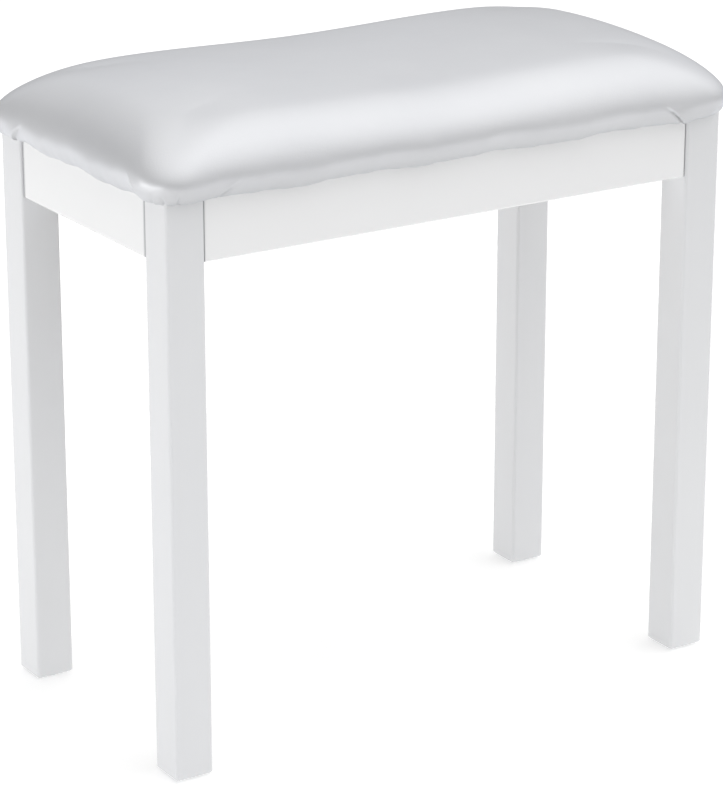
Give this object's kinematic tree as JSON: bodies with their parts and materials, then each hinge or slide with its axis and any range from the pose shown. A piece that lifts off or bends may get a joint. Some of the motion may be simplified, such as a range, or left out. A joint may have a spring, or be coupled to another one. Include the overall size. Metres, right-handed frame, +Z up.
{
  "type": "piano bench",
  "caption": "Padded piano bench with a saddle-shaped seat, slim aprons and square legs on glides.",
  "frame": {"origin": "on the floor, under the middle of the seat", "axes": "+X along the bench, +Y to its back, +Z up"},
  "size_m": [0.506, 0.274, 0.4919],
  "materials": {
    "white_lacquer": "gloss white lacquer over solid wood",
    "pearl_cover": "satin pearl silver-white coated fabric",
    "foam": "open-cell upholstery foam",
    "plywood": "raw plywood",
    "bare_wood": "planed bare wood",
    "nonwoven": "black non-woven sheet",
    "bracket_steel": "zinc-plated sheet steel",
    "zinc_steel": "bright zinc-plated fasteners",
    "glide_plastic": "pale moulded nylon"
  },
  "bodies": {
    "root": {"apron_front": "white_lacquer", "apron_left": "white_lacquer", "apron_rear": "white_lacquer", "apron_right": "white_lacquer", "bolt_washer_front_left": "zinc_steel", "bolt_washer_front_right": "zinc_steel", "bolt_washer_rear_left": "zinc_steel", "bolt_washer_rear_right": "zinc_steel", "bracket_screws": "zinc_steel", "cleat_front": "bare_wood", "cleat_left": "bare_wood", "cleat_rear": "bare_wood", "cleat_right": "bare_wood", "cleat_screws": "zinc_steel", "corner_bracket_front_left": "bracket_steel", "corner_bracket_front_right": "bracket_steel", "corner_bracket_rear_left": "bracket_steel", "corner_bracket_rear_right": "bracket_steel", "dust_cover": "nonwoven", "dust_cover_staples": "zinc_steel", "foot_glide_front_left": "glide_plastic", "foot_glide_front_right": "glide_plastic", "foot_glide_rear_left": "glide_plastic", "foot_glide_rear_right": "glide_plastic", "glide_nails": "zinc_steel", "hanger_bolt_front_left": "zinc_steel", "hanger_bolt_front_right": "zinc_steel", "hanger_bolt_rear_left": "zinc_steel", "hanger_bolt_rear_right": "zinc_steel", "hem_staples": "zinc_steel", "leg_front_left": "white_lacquer", "leg_front_right": "white_lacquer", "leg_rear_left": "white_lacquer", "leg_rear_right": "white_lacquer", "seat_board": "plywood", "seat_cover": "pearl_cover", "seat_foam": "foam", "seat_screws": "zinc_steel", "wing_nut_front_left": "zinc_steel", "wing_nut_front_right": "zinc_steel", "wing_nut_rear_left": "zinc_steel", "wing_nut_rear_right": "zinc_steel"}
  },
  "joints": []
}
